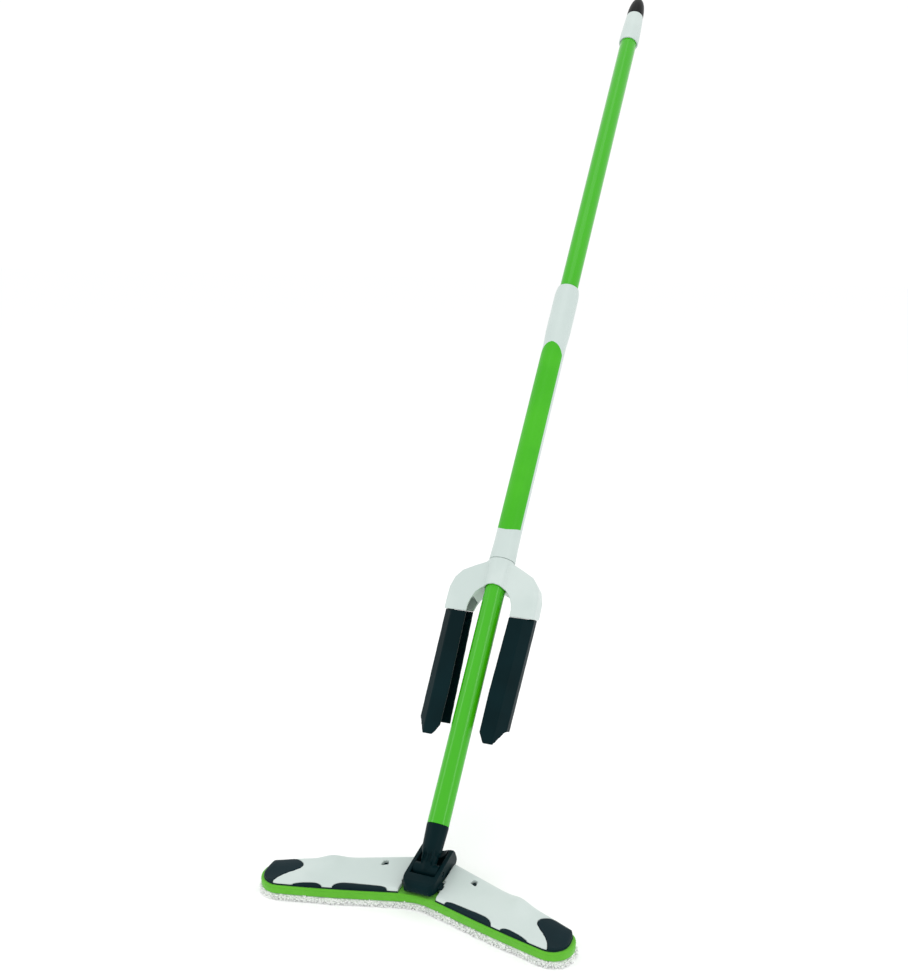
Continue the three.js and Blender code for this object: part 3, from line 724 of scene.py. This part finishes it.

# %% [markdown]
# Each layer of the pad is first made whole, so that its surface runs on across the hinges. It is
# softened more than the mouldings, and its sides are pushed in and out by a slow noise, because
# cloth is never straight. Then it is sliced into four strips, one for each wing and two under
# the cradle. Those two get meshes of their own; real pile crumples there.

# %% Pad pieces
def ruffled(piece, depth, scale, seed):
    """Moves the side walls in and out by a slow noise; the depth is in millimetres."""
    mesh = piece.data
    normals = [vertex.normal.copy() for vertex in mesh.vertices]
    for vertex, normal in zip(mesh.vertices, normals):
        side = 1 - abs(normal.z)
        push = noise.noise(vertex.co * scale + Vector((seed, 0, 0))) * depth * MM * side
        vertex.co += Vector((normal.x, normal.y, 0)) * push
        vertex.co.z = max(vertex.co.z, 0)
    mesh.update()


def sliced(piece, name, axis, low, high):
    """A copy of the part of a piece that lies between two planes, with its cuts closed."""
    work = bmesh.new()
    work.from_mesh(piece.data)
    direction = Vector([1.0 if i == axis else 0.0 for i in range(3)])
    for place, outward in ((low, -direction), (high, direction)):
        cut = bmesh.ops.bisect_plane(work, geom=[*work.verts, *work.edges, *work.faces],
                                     plane_co=direction * place, plane_no=outward, clear_outer=True)
        rim = [e for e in cut["geom_cut"] if isinstance(e, bmesh.types.BMEdge)]
        bmesh.ops.holes_fill(work, edges=rim, sides=0)
    bmesh.ops.triangulate(work, faces=[f for f in work.faces if len(f.verts) > 4])
    mesh = bpy.data.meshes.new(name)
    work.to_mesh(mesh)
    work.free()
    return linked(name, mesh)


def mark_fringe(piece, top):
    """Writes how thick the tufts grow: full on the side walls, thin along the upper rim."""
    mesh = piece.data
    marks = mesh.attributes.new("fringe", "FLOAT", "POINT")
    for i, vertex in enumerate(mesh.vertices):
        upright_wall = abs(vertex.normal.z) < 0.8
        near_rim = vertex.co.z > top - 1.6 * MM
        marks.data[i].value = (0.25 if near_rim else 1.0) if upright_wall else 0.0


def whole_pad(kind, name, voxel):
    nodes = [f"pad_{kind}_left", f"pad_centre_{kind}", f"pad_{kind}_right"]
    return relaxed(nodes, name, voxel, 8)


def seam_line(piece, height, proud):
    """The closed line round the pad at one height, as places in order of angle."""
    places = {}
    for vertex in piece.data.vertices:
        if abs(vertex.co.z - height) < 0.8 * MM and abs(vertex.normal.z) < 0.7:
            step = round(math.degrees(math.atan2(vertex.co.y, vertex.co.x)) * 2)
            if step not in places or places[step][0] < vertex.co.xy.length:
                outwards = Vector((vertex.normal.x, vertex.normal.y, 0)).normalized()
                spot = Vector((vertex.co.x, vertex.co.y, height)) + outwards * proud
                places[step] = (vertex.co.xy.length, spot)
    return [places[step][1] for step in sorted(places)]


HALF_MIDDLE = (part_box("pad_centre_band")[1].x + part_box("pad_band_right")[0].x) / 2
REACH = 1.0
STRIPS = [("left", -REACH, -HALF_MIDDLE, "left_wing", None),
          ("middle_left", -HALF_MIDDLE, 0, "cradle", "left_fold"),
          ("middle_right", 0, HALF_MIDDLE, "cradle", "right_fold"),
          ("right", HALF_MIDDLE, REACH, "right_wing", None)]


def shared_out(whole, kind):
    """Cuts a whole pad layer into its four strips, each on its own body."""
    for word, low, high, body, joint in STRIPS:
        strip = sliced(whole, f"{whole.name}_{word}", 0, low, high)
        all_smooth(strip)
        node = f"pad_{kind}_{word}" if joint is None else f"pad_centre_{kind}"
        finished(strip, node, body)
        if joint:
            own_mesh(strip)
        print(strip.name, len(strip.data.polygons), "faces on", body)
    bpy.data.objects.remove(whole)


pile = whole_pad("pile", "pile", 1.3)
ruffled(pile, 1.0, 90, 1)
mark_fringe(pile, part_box("pad_centre_pile")[1].z)
applied(pile, TUFTS, {"Density": 520000.0, "Length": 3.2 * MM, "Thickness": 1.6 * MM,
                      "Seed": 4, "Material": FINISHES["pad_pile"]})
for vertex in pile.data.vertices:
    vertex.co.z = max(vertex.co.z, 0)
shared_out(pile, "pile")

# %% [markdown]
# The binding is sewn down with one row of stitches just under its upper fold. The row follows
# the outline of the pad, so its line is measured on the binding itself.

# %% Binding and its stitches
binding = whole_pad("band", "binding", 0.9)
ruffled(binding, 0.6, 45, 8)
line = seam_line(binding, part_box("pad_band_left")[1].z - 2.2 * MM, 0.05 * MM)
seam_mesh = bpy.data.meshes.new("seam")
seam_mesh.from_pydata([tuple(p) for p in line], [(i, (i + 1) % len(line)) for i in range(len(line))], [])
seam = applied(linked("seam", seam_mesh), STITCHES, {
    "Spacing": 3.4 * MM, "Length": 2.6 * MM, "Thickness": 0.6 * MM, "Material": FINISHES["band_fabric"]})
work = bmesh.new()
work.from_mesh(binding.data)
work.from_mesh(seam.data)
work.to_mesh(binding.data)
work.free()
bpy.data.objects.remove(seam)
shared_out(binding, "band")

# %% [markdown]
# ## The dark lip under the covers, partly painted shadow
# Each wing cover stands on a thin soft dark strip that closes the gap to the pad and shows as a dark
# line. The line is partly the dark lower edge of the trim and partly painted shadow in the gap
# under the cover. The foot of a cover has a convex outline, so the outline is the hull of its
# lowest corners. A rounded strip is swept along it, all the way round except at the hinge.

# %% Lips, partly painted shadow gap
def foot_outline(side, spacing):
    """Evenly spaced places round the foot of one wing cover, from the hinge and back to it."""
    corners = []
    for part in ("shell", "bumper", "long_trim", "short_trim"):
        solid = frame["nodes"][f"{part}_{side}"]
        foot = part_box(f"{part}_{side}")[0].z + 0.2 * MM
        corners += [vertex.co.xy.copy() for vertex in solid.data.vertices if vertex.co.z < foot]
    hull = [corners[i] for i in geometry.convex_hull_2d(corners)]
    inner = min(abs(p.x) for p in hull) + 2 * MM
    start = next(i for i in range(len(hull)) if abs(hull[i - 1].x) < inner <= abs(hull[i].x))
    hull = hull[start - 1:] + hull[:start - 1]
    end = next(i for i in range(1, len(hull)) if abs(hull[i].x) < inner)
    hull = hull[:end + 1]
    outline = []
    for here, there in zip(hull, hull[1:]):
        steps = max(1, round((there - here).length / spacing))
        outline += [here.lerp(there, k / steps) for k in range(steps)]
    return [*outline, hull[-1]]


def lip_and_shadow_gap(side):
    outline = foot_outline(side, 2 * MM)
    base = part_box(f"shell_{side}")[0].z
    low, high, proud, round_off = base - 0.2 * MM, base + 1.3 * MM, 0.55 * MM, 0.3 * MM
    section = [(-2 * MM, low), (proud - round_off, low), (proud, low + round_off),
               (proud, high - round_off), (proud - round_off, high), (-2 * MM, high)]
    vertices, faces = [], []
    for i, place in enumerate(outline):
        along = outline[min(i + 1, len(outline) - 1)] - outline[max(i - 1, 0)]
        outwards = Vector((along.y, -along.x)).normalized()
        vertices += [(*(place + outwards * offset), z) for offset, z in section]
    count = len(section)
    for i in range(len(outline) - 1):
        for k in range(count):
            a, b = i * count + k, i * count + (k + 1) % count
            faces.append((a, b, b + count, a + count))
    faces += [tuple(range(count)), tuple(reversed(range(len(vertices) - count, len(vertices))))]
    piece = mesh_piece(f"lip_{side}", vertices, faces)
    smooth_shaded(piece, 50)
    # Dark rubber finish: partly the trim's dark lower edge, partly painted shadow in the gap under the
    # cover.
    return finished(piece, f"bumper_{side}", stands_for=False)


for side in ("left", "right"):
    made = lip_and_shadow_gap(side)
    print(made.name, len(made.data.polygons), "faces, on", BODY_OF[f"shell_{side}"])

# %% [markdown]
# ## Hidden pieces
# Bushes, plates, pins and screws keep their plain solids. They are mostly inside the mop, and
# their shapes are already right, so only their finish is set.

# %% Pieces that keep their solids
for node, solid in frame["nodes"].items():
    if not solid.hide_render:
        solid.data.materials.clear()
        solid.data.materials.append(FINISHES[SLOTS[node]])
        print("kept", node, "as", SLOTS[node])
